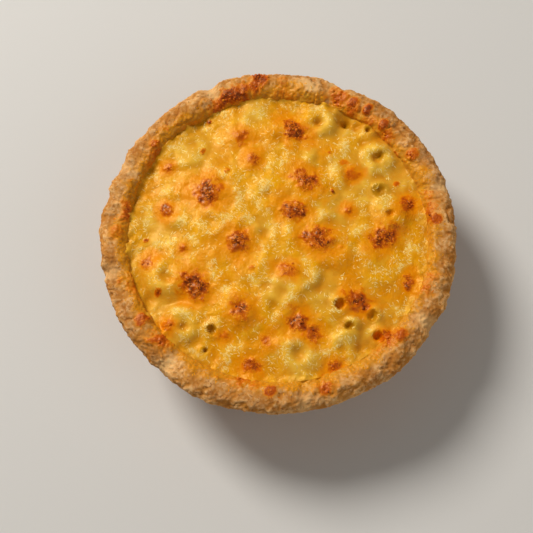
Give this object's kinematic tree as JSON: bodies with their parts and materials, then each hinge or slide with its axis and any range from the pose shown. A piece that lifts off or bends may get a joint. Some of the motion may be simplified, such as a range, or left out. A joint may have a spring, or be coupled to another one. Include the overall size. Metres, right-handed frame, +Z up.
{
  "type": "macaroni cheese pie",
  "caption": "Deep round open pie: a pastry case with a hand-shaped rim, filled with elbow macaroni in cheese sauce and browned in patches on top.",
  "frame": {"origin": "on the table, under the middle of the pie", "axes": "+Z up, from the flat base to the rim; +X to the right and +Y away from whoever faces the pie"},
  "size_m": [0.1895, 0.1917, 0.0543],
  "materials": {
    "pastry": "baked shortcrust pastry, matt and golden brown with darker edges and small cracks",
    "macaroni_cheese": "melted cheese over macaroni, glossy golden yellow with crisp browned patches"
  },
  "bodies": {
    "root": {"pastry_case": "pastry", "macaroni_cheese": "macaroni_cheese"}
  },
  "joints": []
}
